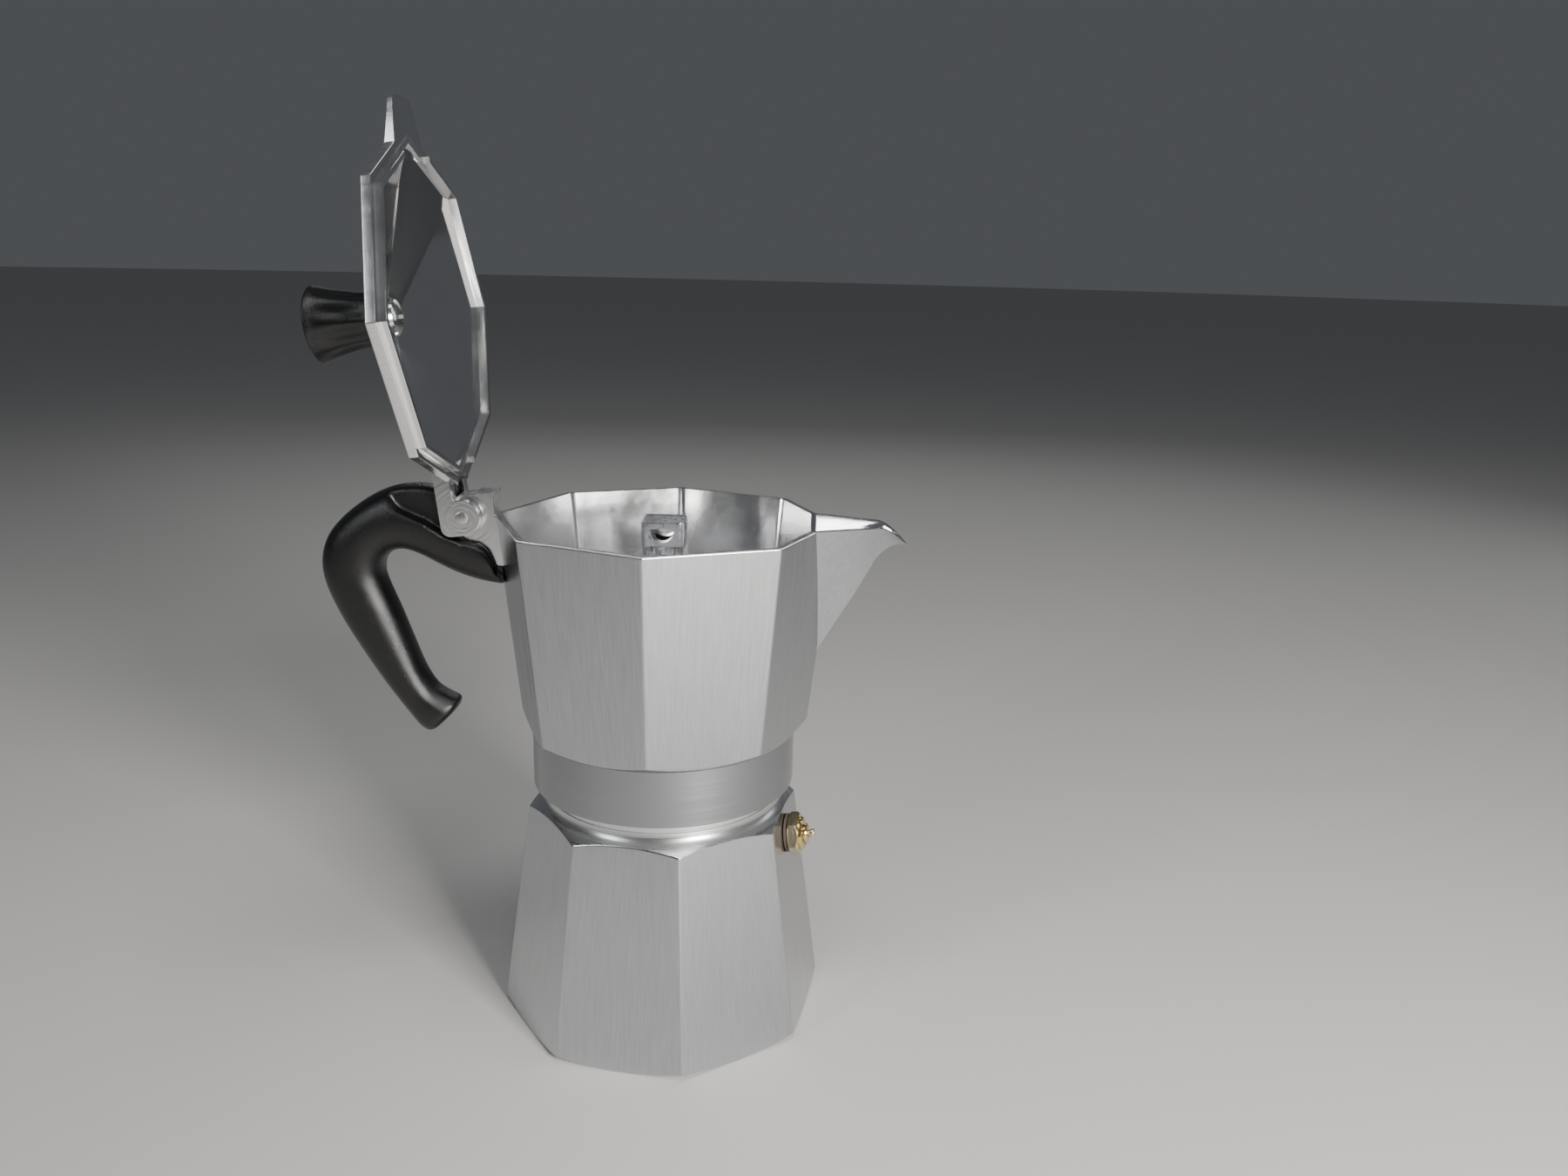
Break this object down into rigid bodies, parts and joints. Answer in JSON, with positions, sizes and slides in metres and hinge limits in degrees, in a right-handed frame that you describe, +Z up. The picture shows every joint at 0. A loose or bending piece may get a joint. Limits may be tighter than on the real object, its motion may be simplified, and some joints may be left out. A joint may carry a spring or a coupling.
{
  "type": "moka pot",
  "caption": "Eight-sided aluminium stove-top coffee pot with hinged lid, screw-on collector, safety valve, funnel and black handle, lid open.",
  "frame": {"origin": "centre of the boiler's flat base", "axes": "+Z up, +X towards the spout, -X towards the handle, +Y to the left of the spout seen from the handle"},
  "size_m": [0.1951, 0.1134, 0.3048],
  "materials": {
    "cast_aluminium": "satin facets, brushed up and down, polished inside",
    "brushed_aluminium": "satin facets, brushed up and down, turned shoulder",
    "polished_aluminium": "polished, brushed edge",
    "column_aluminium": "as cast and tumbled",
    "drawn_aluminium_sheet": "drawn sheet, dull",
    "turned_brass": "turned, bright",
    "steel": "bright",
    "black_phenolic": "satin with a fine grain",
    "pale_rubber": "dull",
    "dark_fibre": "dull"
  },
  "bodies": {
    "boiler_body": {"boiler": "brushed_aluminium", "valve_washer": "dark_fibre", "valve_body": "turned_brass", "valve_bush": "turned_brass", "valve_spring": "steel", "funnel_basket": "drawn_aluminium_sheet", "funnel_stem": "drawn_aluminium_sheet", "funnel_screen": "drawn_aluminium_sheet"},
    "valve_plunger": {"valve_pin": "turned_brass", "valve_seal": "pale_rubber"},
    "seal_stack": {"gasket": "pale_rubber", "filter_plate": "drawn_aluminium_sheet"},
    "collector_body": {"collector": "cast_aluminium", "column": "column_aluminium", "handle": "black_phenolic", "handle_screw": "steel"},
    "lid_body": {"lid": "polished_aluminium", "lid_knob": "black_phenolic", "knob_insert": "turned_brass", "knob_screw": "steel", "hinge_pin": "steel"}
  },
  "joints": [
    {"name": "thread_lift", "type": "slide", "parent": "boiler_body", "child": "seal_stack", "axis": [0, 0, 1], "range_m": [0, 0.0065]},
    {"name": "collector_unscrew", "type": "hinge", "parent": "seal_stack", "child": "collector_body", "pos_m": [0, 0, 0.09], "axis": [0, 0, 1], "range_deg": [0, 720]},
    {"name": "lid_hinge", "type": "hinge", "parent": "collector_body", "child": "lid_body", "pos_m": [-0.0649, 0, 0.175], "axis": [0, 1, 0], "range_deg": [0, 96.8]},
    {"name": "valve_plunge", "type": "slide", "parent": "boiler_body", "child": "valve_plunger", "axis": [0.9762, -0.1756, 0.1276], "range_m": [0, 0.0015], "stiffness_N_per_m": 2000, "springref_m": -0.002, "deforming": ["valve_spring"]}
  ],
  "couplings": [
    {"joint": "thread_lift", "follows": "collector_unscrew", "m_per_rad": 0.00047746}
  ]
}
